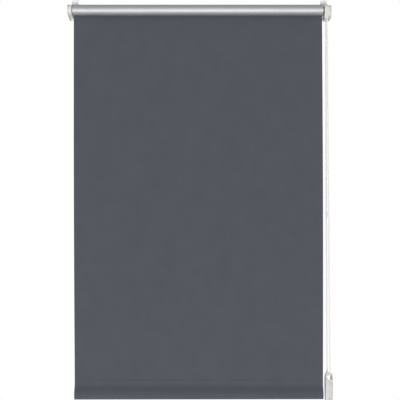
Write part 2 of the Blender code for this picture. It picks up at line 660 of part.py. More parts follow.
# ---- bead chain ---------------------------------------------------------------------------------
def smooth_route(knots, spacing):
    """Points a fixed distance apart, or nearly, on the Catmull-Rom curve through the knots."""
    fine = []
    ends = [2 * knots[0] - knots[1]] + knots + [2 * knots[-1] - knots[-2]]
    for a, b, c, d in zip(ends, ends[1:], ends[2:], ends[3:]):
        for i in range(40):
            t = i / 40
            bend = (2 * a - 5 * b + 4 * c - d) * t * t + (3 * b - 3 * c + d - a) * t ** 3
            fine.append(b + 0.5 * ((c - a) * t + bend))
    fine.append(knots[-1])
    run = [0.0]
    for a, b in zip(fine, fine[1:]):
        run.append(run[-1] + (b - a).length)
    count = max(2, round(run[-1] / spacing))
    points, at = [], 0
    for i in range(count + 1):
        target = run[-1] * i / count
        while at < len(run) - 2 and run[at + 1] < target:
            at += 1
        share = (target - run[at]) / (run[at + 1] - run[at])
        points.append(fine[at].lerp(fine[at + 1], share))
    return points


BEND_STEPS = 16
STRAND_DIRECTION = Vector((-math.sin(PENDANT_TURN), math.cos(PENDANT_TURN), 0))
CHAIN_EXIT_Z = AXIS_Z - CHAIN_EXIT_DROP
BEND_Z = AXIS_Z - PENDANT_TOP_DROP - HOOK_ARCH - BEND_CLEARANCE - BEAD_RADIUS
BEND_CENTRE = Vector((PENDANT_X + BEND_SHIFT, AXIS_Y, BEND_Z + STRAND_SPREAD / 2))


def strand_knots(way):
    """One strand from the wheel's exit (way -1 front, 1 rear) down to where the bend begins."""
    top = Vector((CHAIN_X, AXIS_Y + way * PITCH_RADIUS, CHAIN_EXIT_Z - GAP))
    bottom = BEND_CENTRE + way * STRAND_SPREAD / 2 * STRAND_DIRECTION
    return [top.lerp(bottom, share) for share in (0, 0.03, 0.25, 0.5, 0.75, 0.97, 1)]


bend = []
for i in range(1, BEND_STEPS):
    angle = math.pi * i / BEND_STEPS
    offset = STRAND_DIRECTION * -math.cos(angle) * STRAND_SPREAD / 2
    bend.append(BEND_CENTRE + offset - Vector((0, 0, math.sin(angle) * STRAND_SPREAD / 2)))
front_points = smooth_route(strand_knots(-1), 0.026)
rear_points = smooth_route(strand_knots(1), 0.026)
wire("bead_chain", front_points + bend + rear_points[::-1], BEAD_RADIUS, "chain_plastic")

over_wheel = [Vector((CHAIN_X, AXIS_Y - PITCH_RADIUS, CHAIN_EXIT_Z))]
for i in range(17):
    angle = math.pi - math.pi * i / 16
    y = AXIS_Y + PITCH_RADIUS * math.cos(angle)
    over_wheel.append(Vector((CHAIN_X, y, AXIS_Z + PITCH_RADIUS * math.sin(angle))))
over_wheel.append(Vector((CHAIN_X, AXIS_Y + PITCH_RADIUS, CHAIN_EXIT_Z)))
wire("bead_chain_on_wheel", over_wheel, BEAD_RADIUS, "chain_plastic")

rear_top, rear_bottom = strand_knots(1)[0], strand_knots(1)[-1]
share = (rear_top.z - (AXIS_Z - CONNECTOR_DROP)) / (rear_top.z - rear_bottom.z)
connector_centre = rear_top.lerp(rear_bottom, share)
ring("chain_connector", CONNECTOR_INNER, CONNECTOR_RADIUS, -CONNECTOR_LENGTH / 2,
     CONNECTOR_LENGTH / 2, connector_centre, "Z", 20, "chain_plastic")


# ---- pendant ------------------------------------------------------------------------------------
def pendant_outline():
    """Front outline of the pendant from its top at 0: a body whose top is a hook open at the right."""
    half = PENDANT_WIDTH / 2
    inner = half - HOOK_WALL
    corner = 0.0048
    foot = 0.0078
    eye_z = -HOOK_ARCH - inner
    points = [(half, -0.0210)]
    points += arc(half - foot, -PENDANT_HEIGHT + foot, foot, 0, -90, 6)
    points += arc(-half + foot, -PENDANT_HEIGHT + foot, foot, -90, -180, 6)
    points += arc(-half + corner, -corner, corner, 180, 90, 6)
    points += arc(half - corner, -corner, corner, 90, 0, 6)
    points += [(half, -0.0178), (half - 0.0006, -0.0184), (inner + 0.0004, -0.0184)]
    points += [(inner, -0.0178)]
    points += arc(0, eye_z, inner, 0, 180, 12)
    points += [(-inner, -0.0132)]
    return points


# Drop below the top against the share of the full depth: a thin arch, a deep body, a thin foot.
DEPTH_STEPS = [(0, 0.46), (0.0040, 0.46), (0.0130, 1.0), (0.0340, 1.0), (PENDANT_HEIGHT, 0.40)]


def depth_share(drop):
    for (start, share), (end, next_share) in zip(DEPTH_STEPS, DEPTH_STEPS[1:]):
        if drop <= end:
            return share + (next_share - share) * max(0.0, drop - start) / (end - start)
    return DEPTH_STEPS[-1][1]


pendant = plate("pendant_body", pendant_outline(), "XZ", -PENDANT_DEPTH / 2, PENDANT_DEPTH / 2,
                "pendant_plastic")
shape = bmesh.new()
shape.from_mesh(pendant.data)
for drop, _ in DEPTH_STEPS[1:-1]:
    everything = shape.verts[:] + shape.edges[:] + shape.faces[:]
    bmesh.ops.bisect_plane(shape, geom=everything, plane_co=(0, -drop, 0), plane_no=(0, 1, 0))
for corner in shape.verts:
    corner.co.z *= depth_share(-corner.co.y)
shape.to_mesh(pendant.data)
shape.free()
PENDANT_TOP = Vector((PENDANT_X, AXIS_Y, AXIS_Z - PENDANT_TOP_DROP))
pendant.matrix_world = (Matrix.Translation(PENDANT_TOP) @ Matrix.Rotation(PENDANT_TURN, 4, "Z")
                        @ pendant.matrix_world)
soften(pendant, 0.0006)
boolean(pendant, cylinder("slug_bore_cut", 0.0028, -0.054, -0.006, PENDANT_TOP, "Z", 20))
dimple = cylinder("tie_hole_cut", 0.0010, -0.02, 0.02, (0, 0, 0), "Y", 12)
dimple.matrix_world = (Matrix.Translation(PENDANT_TOP + Vector((0, 0, -0.0590)))
                       @ Matrix.Rotation(PENDANT_TURN, 4, "Z") @ Matrix.Rotation(-math.pi / 2, 4, "X"))
boolean(pendant, dimple)
cylinder("pendant_slug", 0.0025, -0.0535, -0.0225, PENDANT_TOP, "Z", 20, "zinc_steel")
cylinder("pendant_plug", 0.0025, -0.0222, -0.0190, PENDANT_TOP, "Z", 20, "pendant_plastic")
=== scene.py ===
"""Looks of the roller blind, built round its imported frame: cloth, silver roll, brackets and bead chain.

Metres, in the frame's axes: +X to the right, +Y towards the window, +Z up.
"""

import json
import math

import bmesh
import bpy
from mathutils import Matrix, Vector


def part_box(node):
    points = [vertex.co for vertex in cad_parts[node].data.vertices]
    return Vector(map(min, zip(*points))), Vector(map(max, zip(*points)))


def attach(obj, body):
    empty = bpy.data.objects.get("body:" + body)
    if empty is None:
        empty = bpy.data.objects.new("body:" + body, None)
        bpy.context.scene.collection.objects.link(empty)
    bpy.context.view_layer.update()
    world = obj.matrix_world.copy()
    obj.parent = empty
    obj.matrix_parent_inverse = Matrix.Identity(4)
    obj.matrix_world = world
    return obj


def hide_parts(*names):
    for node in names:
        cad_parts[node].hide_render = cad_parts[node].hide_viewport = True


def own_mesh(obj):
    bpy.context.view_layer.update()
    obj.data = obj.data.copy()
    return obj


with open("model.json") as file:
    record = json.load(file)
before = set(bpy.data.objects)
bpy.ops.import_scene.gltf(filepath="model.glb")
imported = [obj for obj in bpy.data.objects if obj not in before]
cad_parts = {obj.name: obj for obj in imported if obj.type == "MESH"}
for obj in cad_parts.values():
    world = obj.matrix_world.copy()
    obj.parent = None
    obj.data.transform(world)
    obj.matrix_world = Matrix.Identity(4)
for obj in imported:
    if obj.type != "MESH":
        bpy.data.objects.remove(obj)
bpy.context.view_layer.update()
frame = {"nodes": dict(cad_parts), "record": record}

# ---- places, read from the frame ------------------------------------------------------------------
ROLL_LOW, ROLL_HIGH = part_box("cloth_roll")
SHEET_LOW, SHEET_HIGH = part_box("cloth_sheet")
POCKET_LOW, POCKET_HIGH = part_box("hem_pocket")
BAR_LOW, BAR_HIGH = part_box("hem_bar")
CONNECTOR_LOW, CONNECTOR_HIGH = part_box("chain_connector")
PENDANT_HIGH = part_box("pendant_body")[1]

AXIS = Vector((0, (ROLL_LOW.y + ROLL_HIGH.y) / 2, (ROLL_LOW.z + ROLL_HIGH.z) / 2))
ROLL_RADIUS = (ROLL_HIGH.z - ROLL_LOW.z) / 2
ROLL_CORE = 0.0113  # radius of the hole through the roll, clear of the tube
GAP = 0.0003  # between neighbouring pieces
CLOTH_THICKNESS = SHEET_HIGH.y - SHEET_LOW.y
SHEET_Y = (SHEET_LOW.y + SHEET_HIGH.y) / 2
CLOTH_LEFT, CLOTH_RIGHT = ROLL_LOW.x, ROLL_HIGH.x
CLOTH_WIDTH = CLOTH_RIGHT - CLOTH_LEFT
CLOTH_SKEW = POCKET_LOW.x - CLOTH_LEFT  # the hem hangs this much to the right
SHEET_DROP = AXIS.z - SHEET_LOW.z

# ---- camera, at the height of the middle of the picture -------------------------------------------
CAMERA_DISTANCE = 1.65  # in front of the roller axis
CAMERA_Z = -0.467
LENS, SENSOR_WIDTH = 65.13, 36.0  # mm
FRAMING_SHIFT = 0.0016  # of the view to the right, as a share of its width


def make_camera():
    data = bpy.data.cameras.new("camera")
    data.lens = LENS
    data.sensor_width = SENSOR_WIDTH
    data.shift_x = FRAMING_SHIFT
    camera = bpy.data.objects.new("camera", data)
    camera.location = (0, AXIS.y - CAMERA_DISTANCE, CAMERA_Z)
    camera.rotation_euler = (math.pi / 2, 0, 0)
    bpy.context.scene.collection.objects.link(camera)
    bpy.context.scene.camera = camera


make_camera()


# ---- node and material helpers ----------------------------------------------------------------------
def node(tree, kind, inputs=None, **settings):
    """Adds a shader node, with its settings, and its inputs as values or other nodes' outputs."""
    made = tree.nodes.new(kind)
    for key, value in settings.items():
        setattr(made, key, value)
    for key, value in (inputs or {}).items():
        if isinstance(value, bpy.types.NodeSocket):
            tree.links.new(value, made.inputs[key])
        else:
            made.inputs[key].default_value = value
    return made


def scaled_place(tree, scale):
    """The object's own coordinates, stretched by a scale along each axis."""
    place = node(tree, "ShaderNodeTexCoord").outputs["Object"]
    return node(tree, "ShaderNodeMapping", {"Vector": place, "Scale": scale}).outputs["Vector"]


def noise(tree, scale, detail=3.0, roughness=0.55):
    """Noise from 0 to 1, with a scale along each axis."""
    inputs = {"Vector": scaled_place(tree, scale), "Scale": 1.0, "Detail": detail}
    inputs["Roughness"] = roughness
    return node(tree, "ShaderNodeTexNoise", inputs).outputs["Fac"]


def remap(tree, value, low, high, start=0.3, end=0.7):
    """A value's range from start to end, spread over low to high. Noise mostly lies in 0.3 to 0.7."""
    inputs = {"Value": value, "From Min": start, "From Max": end, "To Min": low, "To Max": high}
    return node(tree, "ShaderNodeMapRange", inputs).outputs["Result"]


def math_node(tree, operation, a, b=0.0):
    return node(tree, "ShaderNodeMath", {0: a, 1: b}, operation=operation).outputs["Value"]


def tint(tree, colour, spread, factor):
    """A colour that runs from darker to lighter by spread, as factor goes from 0 to 1."""
    mix = tree.nodes.new("ShaderNodeMix")
    mix.data_type = "RGBA"
    dark, light = [s for s in mix.inputs if s.type == "RGBA"]
    dark.default_value = (*(c * (1 - spread) for c in colour), 1)
    light.default_value = (*(c * (1 + spread) for c in colour), 1)
    tree.links.new(factor, mix.inputs["Factor"])
    return next(s for s in mix.outputs if s.type == "RGBA")


def new_material(name):
    material = bpy.data.materials.new(name)
    material.use_nodes = True
    return material, material.node_tree, material.node_tree.nodes["Principled BSDF"]


def set_inputs(tree, shader, **values):
    """Sets a shader's inputs, named with underscores, to values or to other nodes' outputs."""
    for key, value in values.items():
        socket = shader.inputs[key.replace("_", " ")]
        if isinstance(value, bpy.types.NodeSocket):
            tree.links.new(value, socket)
        else:
            socket.default_value = value


def bump(tree, height, strength, distance):
    inputs = {"Height": height, "Strength": strength, "Distance": distance}
    return node(tree, "ShaderNodeBump", inputs).outputs["Normal"]


def moulded(name, colour, roughness, grain=900.0, depth=0.00003):
    """Moulded plastic, paint or rubber: faint colour clouds and a fine grain."""
    material, tree, shader = new_material(name)
    clouds = noise(tree, (60, 60, 60))
    fine = noise(tree, (grain, grain, grain), detail=2.0)
    rough = remap(tree, noise(tree, (220, 220, 220)), roughness - 0.05, roughness + 0.05)
    set_inputs(tree, shader, Base_Color=tint(tree, colour, 0.025, clouds), Roughness=rough)
    set_inputs(tree, shader, Normal=bump(tree, fine, 0.35, depth))
    return material


def metal(name, colour, roughness, brush):
    """Metal with fine marks drawn out along the axis whose brush scale is small."""
    material, tree, shader = new_material(name)
    marks = noise(tree, brush, detail=4.0)
    rough = remap(tree, marks, roughness - 0.07, roughness + 0.07)
    set_inputs(tree, shader, Base_Color=tint(tree, colour, 0.06, marks), Roughness=rough)
    set_inputs(tree, shader, Metallic=1.0, Normal=bump(tree, marks, 0.5, 0.00002))
    return material


WEAVE_PITCH = 0.0006  # over two threads
GREY = (0.0705, 0.0770, 0.0915)
SILVER = (0.50, 0.51, 0.53)


def weave(tree):
    """Height of a plain weave: threads along X and Z, over and under each other."""
    place = node(tree, "ShaderNodeTexCoord").outputs["Object"]
    parts = node(tree, "ShaderNodeSeparateXYZ", {"Vector": place}).outputs
    waves = []
    for axis in ("X", "Z"):
        turn = math_node(tree, "MULTIPLY", parts[axis], math.tau / WEAVE_PITCH)
        waves.append(math_node(tree, "SINE", turn))
    return math_node(tree, "MULTIPLY", *waves)


def woven_grey():
    """The room side: an anthracite plain weave with slubs and faint clouds."""
    material, tree, shader = new_material("woven_anthracite")
    clouds = noise(tree, (34, 34, 26), detail=6.0, roughness=0.62)
    slubs = noise(tree, (26, 200, 700))
    warp = noise(tree, (800, 200, 22))
    mixed = math_node(tree, "ADD", math_node(tree, "MULTIPLY", clouds, 0.5),
                      math_node(tree, "MULTIPLY", math_node(tree, "ADD", slubs, warp), 0.25))
    colour = tint(tree, GREY, 0.22, mixed)
    height = math_node(tree, "ADD", weave(tree), math_node(tree, "MULTIPLY", slubs, 1.5))
    set_inputs(tree, shader, Base_Color=colour, Roughness=0.92, Specular_IOR_Level=0.25)
    set_inputs(tree, shader, Sheen_Weight=0.12, Sheen_Roughness=0.6)
    set_inputs(tree, shader, Normal=bump(tree, height, 0.3, 0.00006))
    return material


def silver_coating():
    """The window side: a smooth aluminium coating that lets a little of the weave through."""
    material, tree, shader = new_material("silver_coating")
    clouds = noise(tree, (18, 60, 60), detail=4.0)
    fine = noise(tree, (1500, 1500, 1500), detail=2.0)
    height = math_node(tree, "ADD", math_node(tree, "MULTIPLY", weave(tree), 0.25), fine)
    rough = remap(tree, clouds, 0.60, 0.64)
    set_inputs(tree, shader, Base_Color=tint(tree, SILVER, 0.03, clouds))
    set_inputs(tree, shader, Metallic=0.85, Roughness=rough)
    set_inputs(tree, shader, Normal=bump(tree, height, 0.25, 0.00002))
    return material


MATERIALS = {
    "white_plastic": moulded("white_plastic_moulded", (0.69, 0.69, 0.66), 0.52),
    "white_steel": moulded("white_powder_coat", (0.88, 0.88, 0.875), 0.38, 500.0, 0.00005),
    "zinc_steel": metal("bright_zinc", (0.66, 0.67, 0.69), 0.30, (300, 300, 300)),
    "spring_steel": metal("drawn_spring_wire", (0.52, 0.52, 0.53), 0.28, (60, 900, 900)),
    "rubber": moulded("black_rubber", (0.035, 0.035, 0.036), 0.80, 700.0, 0.00006),
    "tube_aluminium": metal("drawn_aluminium", (0.80, 0.81, 0.82), 0.28, (12, 1200, 1200)),
    "silver_cloth": silver_coating(),
    "grey_cloth": woven_grey(),
    # On the chain wheel this dark grey is painted shade: it darkens the narrow gap between the roll's end
    # and the housing, where there is only shade.
    "grey_plastic": moulded("anthracite_plastic", (0.085, 0.093, 0.108), 0.50),
    "chain_plastic": moulded("white_bead_plastic", (0.88, 0.88, 0.87), 0.32),
    "pendant_plastic": moulded("off_white_plastic", (0.64, 0.635, 0.62), 0.36),
    "black_plastic": moulded("black_acetal", (0.022, 0.022, 0.023), 0.45),
}
SLOTS = {part["node"]: part["material_slot"] for part in frame["record"]["subparts"]}


# ---- mesh helpers -----------------------------------------------------------------------------------
def add_piece(name, mesh, body, slots, replaced=()):
    """Links a mesh as a piece with its materials, on its body, for the CAD nodes that it stands for."""
    obj = bpy.data.objects.new(name, mesh)
    bpy.context.scene.collection.objects.link(obj)
    for slot in slots:
        mesh.materials.append(MATERIALS[slot])
    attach(obj, body)
    if replaced:
        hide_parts(*replaced)
    return obj


def grid_faces(rows, columns, start=0, closed_rows=False, closed_columns=False):
    """Quads over a grid of vertices that is stored row by row."""
    faces = []
    for i in range(rows if closed_rows else rows - 1):
        for j in range(columns if closed_columns else columns - 1):
            a, b = i * columns + j, i * columns + (j + 1) % columns
            c, d = ((i + 1) % rows) * columns + (j + 1) % columns, ((i + 1) % rows) * columns + j
            faces.append([start + k for k in (a, b, c, d)])
    return faces


def mesh_of(name, points, faces):
    """A mesh with its faces turned outwards."""
    mesh = bpy.data.meshes.new(name)
    mesh.from_pydata([tuple(p) for p in points], [], faces)
    shape = bmesh.new()
    shape.from_mesh(mesh)
    bmesh.ops.recalc_face_normals(shape, faces=shape.faces)
    shape.to_mesh(mesh)
    shape.free()
    return mesh


def smooth(mesh, degrees=35.0):
    """Shades a mesh smoothly, but for edges sharper than an angle."""
    mesh.shade_smooth()
    mesh.set_sharp_from_angle(angle=math.radians(degrees))


MERGE_DISTANCE = 0.000002
FLAT_ANGLE = 1.0  # faces that meet at less are one flat face, in degrees
ROUNDED_ANGLE = 38.0  # edges sharper than this are rounded, in degrees


def finished_copy(name, softness):
    """A CAD piece with its flat faces merged, its edges rounded and its curves smoothly shaded."""
    mesh = frame["nodes"][name].data.copy()
    mesh.materials.clear()
    shape = bmesh.new()
    shape.from_mesh(mesh)
    bmesh.ops.remove_doubles(shape, verts=shape.verts, dist=MERGE_DISTANCE)
    bmesh.ops.dissolve_limit(shape, angle_limit=math.radians(FLAT_ANGLE), verts=shape.verts,
                             edges=shape.edges)
    shape.to_mesh(mesh)
    shape.free()
    smooth(mesh)
    body = next(b for b, nodes in frame["record"]["behaviour"]["bodies"].items() if name in nodes)
    obj = add_piece(f"{name}_finished", mesh, body, [SLOTS[name]], [name])
    edges = obj.modifiers.new("rounded_edges", "BEVEL")
    edges.width = softness
    edges.segments = 2
    edges.limit_method = "ANGLE"
    edges.angle_limit = math.radians(ROUNDED_ANGLE)
    edges.harden_normals = True
    return obj


# ---- silver roll ------------------------------------------------------------------------------------
ROLL_EDGE = ((0.0, 0.00045), (0.0001, 0.0004), (0.0002, 0.0003))  # from the end, below the surface
ROLL_EDGE_LENGTH = 0.0004  # from the end to where the roll has its full radius
ROLL_WAVE = 0.00004  # how uneven the outer turn is


def silver_roll():
    """The turns of cloth left on the tube, silver side out, with soft edges at both ends."""
    columns = 96
    profile = [(CLOTH_LEFT, ROLL_CORE)]
    profile += [(CLOTH_LEFT + inset, ROLL_RADIUS - drop) for inset, drop in ROLL_EDGE]
    lengths = 60
    for i in range(lengths + 1):
        x = CLOTH_LEFT + ROLL_EDGE_LENGTH + (CLOTH_WIDTH - 2 * ROLL_EDGE_LENGTH) * i / lengths
        profile.append((x, ROLL_RADIUS))
    profile += [(CLOTH_RIGHT - inset, ROLL_RADIUS - drop) for inset, drop in ROLL_EDGE[::-1]]
    profile.append((CLOTH_RIGHT, ROLL_CORE))
    points = []
    for x, radius in profile:
        for j in range(columns):
            angle = math.tau * j / columns
            wave = ROLL_WAVE * math.sin(9 * x / CLOTH_WIDTH * math.tau + 2 * angle)
            reach = radius - ROLL_WAVE + wave * (radius > ROLL_CORE)
            points.append((x, AXIS.y + reach * math.cos(angle), AXIS.z + reach * math.sin(angle)))
    faces = grid_faces(len(profile), columns, closed_rows=True, closed_columns=True)
    mesh = mesh_of("silver_roll", points, faces)
    smooth(mesh, 30)
    return add_piece("silver_roll", mesh, "roller", ["silver_cloth"], ["cloth_roll"])


# ---- hanging cloth ----------------------------------------------------------------------------------
EDGE_CURL = 0.0011  # the cut edges curl this much towards the window
EDGE_BELLY = 0.0013  # the cut edges bow out this much half way down
RIPPLE = 0.00035  # height of the slow waves across the cloth
RIGHT_SLIP = 0.0003  # the hanging cloth's right edge stands this far past its place on the roll


def cloth_offset(across, down):
    """How far the cloth stands off its plane, towards the window. Both arguments run from 0 to 1."""
    hold = math.sin(math.pi * min(1.0, max(0.0, down))) ** 0.6
    curl = EDGE_CURL * abs(2 * across - 1) ** 14
    ripple = RIPPLE * math.sin(2.4 * math.tau * across + 1.1 + 1.5 * down)
    ripple += 0.5 * RIPPLE * math.sin(5.3 * math.tau * across + 3.0 * down)
    return hold * (curl + ripple)


def layered(rows, columns, front, rear):
    """Points and faces of a thin closed sheet, and how many faces its room side has."""
    faces = grid_faces(rows, columns)
    room_side = len(faces)
    shift = rows * columns
    faces += [[k + shift for k in reversed(face)] for face in faces]
    rim = list(range(columns))
    rim += [i * columns + columns - 1 for i in range(1, rows)]
    rim += [(rows - 1) * columns + j for j in range(columns - 2, -1, -1)]
    rim += [i * columns for i in range(rows - 2, 0, -1)]
    for a, b in zip(rim, rim[1:] + rim[:1]):
        faces.append([a, b, b + shift, a + shift])
    return front + rear, faces, room_side


def hanging_cloth():
    """The sheet from the roll's rear down to the hem: weave towards the room, silver behind."""
    columns, rows = 115, 160
    front, rear = [], []
    for i in range(rows):
        down = i / (rows - 1)
        z = AXIS.z - down * SHEET_DROP
        for j in range(columns):
            across = j / (columns - 1)
            x = CLOTH_LEFT + across * CLOTH_WIDTH + down * CLOTH_SKEW
            x += (2 * across - 1) * EDGE_BELLY * math.sin(math.pi * down) + across * RIGHT_SLIP
            y = SHEET_Y + cloth_offset(across, down)
            front.append((x, y - CLOTH_THICKNESS / 2, z))
            rear.append((x, y + CLOTH_THICKNESS / 2, z))
    points, faces, side = layered(rows, columns, front, rear)
    mesh = bpy.data.meshes.new("hanging_cloth")
    mesh.from_pydata(points, [], faces)
    smooth(mesh, 50)
    sheet = add_piece("hanging_cloth", mesh, "frame", ["grey_cloth", "silver_cloth"], ["cloth_sheet"])
    for face in mesh.polygons:
        face.material_index = int(side <= face.index < 2 * side)
    return sheet


LEAD_REACH = 115.0  # round the roll from its rear, in degrees
LEAD_THINNEST = 0.00002  # where it lies flat on the roll


def cloth_lead():
    """The first of the outer turn, from the roll's rear up over its top until it lies flat on it."""
    columns, rows = 58, 16
    reach = math.radians(LEAD_REACH)
    front, rear = [], []
    for i in range(rows):
        share = i / (rows - 1)
        angle = reach * share
        gap = (SHEET_Y - AXIS.y - ROLL_RADIUS - CLOTH_THICKNESS / 2) * (1 - share) ** 2
        inner = ROLL_RADIUS + gap
        thick = CLOTH_THICKNESS * (1 - share) ** 1.5 + LEAD_THINNEST
        for j in range(columns):
            x = CLOTH_LEFT + CLOTH_WIDTH * j / (columns - 1)
            for side, radius in ((front, inner), (rear, inner + thick)):
                y = AXIS.y + radius * math.cos(angle)
                side.append((x, y, AXIS.z + radius * math.sin(angle)))
    points, faces, _ = layered(rows, columns, front, rear)
    mesh = mesh_of("cloth_lead", points, faces)
    smooth(mesh, 50)
    return add_piece("cloth_lead", mesh, "frame", ["silver_cloth"])


# ---- hem --------------------------------------------------------------------------------------------
LIP = 0.0007  # the pocket stands this far off the sheet's plane just below its weld
FRONT_SLACK = 0.0018  # the cloth stands this far off the bar's front
BOTTOM_SAG = 0.0007  # how far the cloth hangs below the bar at its left end; not at all at its right
FLAT_DROP = 0.0085  # below the weld, where the pocket begins to swell towards the bar
OVAL_START, OVAL_END = 176, 364  # the oval runs under the bar from its front to its rear, in degrees
OVAL_STEPS = 28
SWELL_STEPS = 20
WAVE, FINE_WAVE = 0.00025, 0.00015  # heights of the waves along the hem
# The waves grow over the first length below the weld's top, and fade over the second above the bar.
WAVE_TOP, WAVE_FOOT = 0.004, 0.008
REAR_STAND = 0.7  # the rear layer stands off by this share of the front's
BAR_Y = (BAR_LOW.y + BAR_HIGH.y) / 2
BAR_Z = (BAR_LOW.z + BAR_HIGH.z) / 2
# Down from the top of the weld, against how far the cloth stands off its plane there.
WELD = ((0.0, 0.00022), (0.0005, 0.00012), (0.0010, 0.00012), (0.0016, 0.0005), (0.0024, 0.0008),
        (0.0036, 0.0009), (0.0056, LIP), (0.0080, LIP))


def hem_section():
    """Outline of the hem pocket: a pressed weld, a small lip, a swelling, and an oval round the bar."""
    top = SHEET_LOW.z
    cover = CLOTH_THICKNESS + GAP
    half_height = (BAR_HIGH.z - BAR_LOW.z) / 2 + cover
    half_depth = (BAR_HIGH.y - BAR_LOW.y) / 2 + cover
    start_angle, end_angle = math.radians(OVAL_START), math.radians(OVAL_END)
    oval = []
    for i in range(OVAL_STEPS + 1):
        angle = start_angle + (end_angle - start_angle) * i / OVAL_STEPS
        slack = FRONT_SLACK * max(0.0, -math.cos(angle)) ** 2
        sag = BOTTOM_SAG * max(0.0, -math.sin(angle)) ** 2
        oval.append((BAR_Y + half_depth * math.cos(angle) - slack,
                     BAR_Z + half_height * math.sin(angle) - sag))
    front = [(SHEET_Y - off, top - drop) for drop, off in WELD]
    rear = [(SHEET_Y + REAR_STAND * off, top - drop) for drop, off in WELD]
    for side, end in ((front, oval[0]), (rear, oval[-1])):
        start_y, start_z = side[-1][0], top - FLAT_DROP
        for i in range(SWELL_STEPS):
            share = i / SWELL_STEPS
            ease = share ** 3 * (10 - 15 * share + 6 * share * share)
            side.append((start_y + (end[0] - start_y) * ease, start_z + (end[1] - start_z) * share))
    return front + oval + rear[::-1]


def hem_cloth():
    """The hem pocket, with slight waves along its weld and its lip."""
    outline = hem_section()
    columns = 116
    points = []
    for j in range(columns):
        across = j / (columns - 1)
        x = POCKET_LOW.x + (POCKET_HIGH.x + RIGHT_SLIP - POCKET_LOW.x) * across
        wave = WAVE * math.sin(7.3 * math.tau * across) + FINE_WAVE * math.sin(17 * math.tau * across)
        for y, z in outline:
            depth = min(1.0, (outline[0][1] - z) / WAVE_TOP)
            lower = min(1.0, max(0.0, (z - BAR_HIGH.z) / WAVE_FOOT))
            bottom = max(0.0, (BAR_Z - z) / (BAR_Z - BAR_LOW.z))
            points.append((x, y + wave * depth * lower, z + BOTTOM_SAG * across * bottom ** 2))
    faces = grid_faces(columns, len(outline), closed_columns=True)
    last = (columns - 1) * len(outline)
    faces.append(list(range(len(outline)))[::-1])
    faces.append([last + k for k in range(len(outline))])
    mesh = mesh_of("hem_cloth", points, faces)
    smooth(mesh, 60)
    return add_piece("hem_cloth", mesh, "hem", ["grey_cloth"], ["hem_pocket"])


# ---- bead chain -------------------------------------------------------------------------------------
CHAIN_X = 0.2895  # the plane of the beads on the wheel
BEAD_PITCH = 0.005
BEAD_RADIUS = 0.0019
THREAD_RADIUS = 0.0006
WHEEL_BEADS = 12
PITCH_RADIUS = WHEEL_BEADS * BEAD_PITCH / math.tau
CHAIN_EXIT_Z = AXIS.z - 0.0219  # just inside the foot of the chute
PENDANT_X = 0.2950  # the pendant's middle
PENDANT_TURN = math.radians(15)  # about the upright
STRAND_SPREAD = 0.016  # between the strands where the bend begins
HOOK_ARCH = 0.0032  # thickness of the pendant's hook over the chain
BEND_CLEARANCE = 0.001  # between the hook and the beads below it
BEND_SHIFT = -0.0009  # the chain hangs this far to the left of the pendant's middle
STRAND_DIRECTION = Vector((-math.sin(PENDANT_TURN), math.cos(PENDANT_TURN), 0))
BEND_Z = PENDANT_HIGH.z - HOOK_ARCH - BEND_CLEARANCE - BEAD_RADIUS
BEND_STEPS = 16
WHEEL_STEPS = 24
STRAND_SHARES = (0, 0.03, 0.25, 0.5, 0.75, 0.97, 1)  # places of the route's points along a strand
BEND_CENTRE = Vector((PENDANT_X + BEND_SHIFT, AXIS.y, BEND_Z + STRAND_SPREAD / 2))


def strand(way):
    """One strand from the wheel's exit (way -1 front, 1 rear) down to where the bend begins."""
    top = Vector((CHAIN_X, AXIS.y + way * PITCH_RADIUS, CHAIN_EXIT_Z - GAP))
    bottom = BEND_CENTRE + way * STRAND_SPREAD / 2 * STRAND_DIRECTION
    return [top.lerp(bottom, share) for share in STRAND_SHARES]


def chain_route():
    """The free chain's route: down the front strand, round under the hook, and up the rear strand."""
    bend = []
    for i in range(1, BEND_STEPS):
        angle = math.pi * i / BEND_STEPS
        offset = STRAND_DIRECTION * -math.cos(angle) * STRAND_SPREAD / 2
        bend.append(BEND_CENTRE + offset - Vector((0, 0, math.sin(angle) * STRAND_SPREAD / 2)))
    return strand(-1) + bend + strand(1)[::-1]


def wheel_route():
    """The stretch on the wheel: up from the front exit, over the wheel, down to the rear exit."""
    points = [Vector((CHAIN_X, AXIS.y - PITCH_RADIUS, CHAIN_EXIT_Z))]
    for i in range(WHEEL_STEPS + 1):
        angle = math.pi - math.pi * i / WHEEL_STEPS
        y = AXIS.y + PITCH_RADIUS * math.cos(angle)
        points.append(Vector((CHAIN_X, y, AXIS.z + PITCH_RADIUS * math.sin(angle))))
    return points + [Vector((CHAIN_X, AXIS.y + PITCH_RADIUS, CHAIN_EXIT_Z))]


def route_length(points):
    return sum((b - a).length for a, b in zip(points, points[1:]))


def along(points, distance):
    """The place at a distance along a route, and the route's direction there."""
    for a, b in zip(points, points[1:]):
        step = (b - a).length
        if distance <= step or b is points[-1]:
            return a.lerp(b, distance / step), (b - a).normalized()
        distance -= step


BEAD_SIDES, BEAD_RINGS = 12, 7


def bead(place, heading):
    """Points of one round bead: a pole, rings along the heading, and the other pole."""
    turn = heading.to_track_quat("Z", "Y").to_matrix()
    points = [Vector((0, 0, 1))]
    for i in range(1, BEAD_RINGS + 1):
        polar = math.pi * i / (BEAD_RINGS + 1)
        for k in range(BEAD_SIDES):
            angle = math.tau * k / BEAD_SIDES
            ring = math.sin(polar)
            points.append(Vector((ring * math.cos(angle), ring * math.sin(angle), math.cos(polar))))
    points.append(Vector((0, 0, -1)))
    return [place + BEAD_RADIUS * (turn @ p) for p in points]


def bead_faces(start):
    faces = grid_faces(BEAD_RINGS, BEAD_SIDES, start + 1, closed_columns=True)
    last = start + 1 + BEAD_RINGS * BEAD_SIDES
    for k in range(BEAD_SIDES):
        faces.append([start, start + 1 + k, start + 1 + (k + 1) % BEAD_SIDES])
        bottom = last - BEAD_SIDES
        faces.append([last, bottom + (k + 1) % BEAD_SIDES, bottom + k])
    return faces


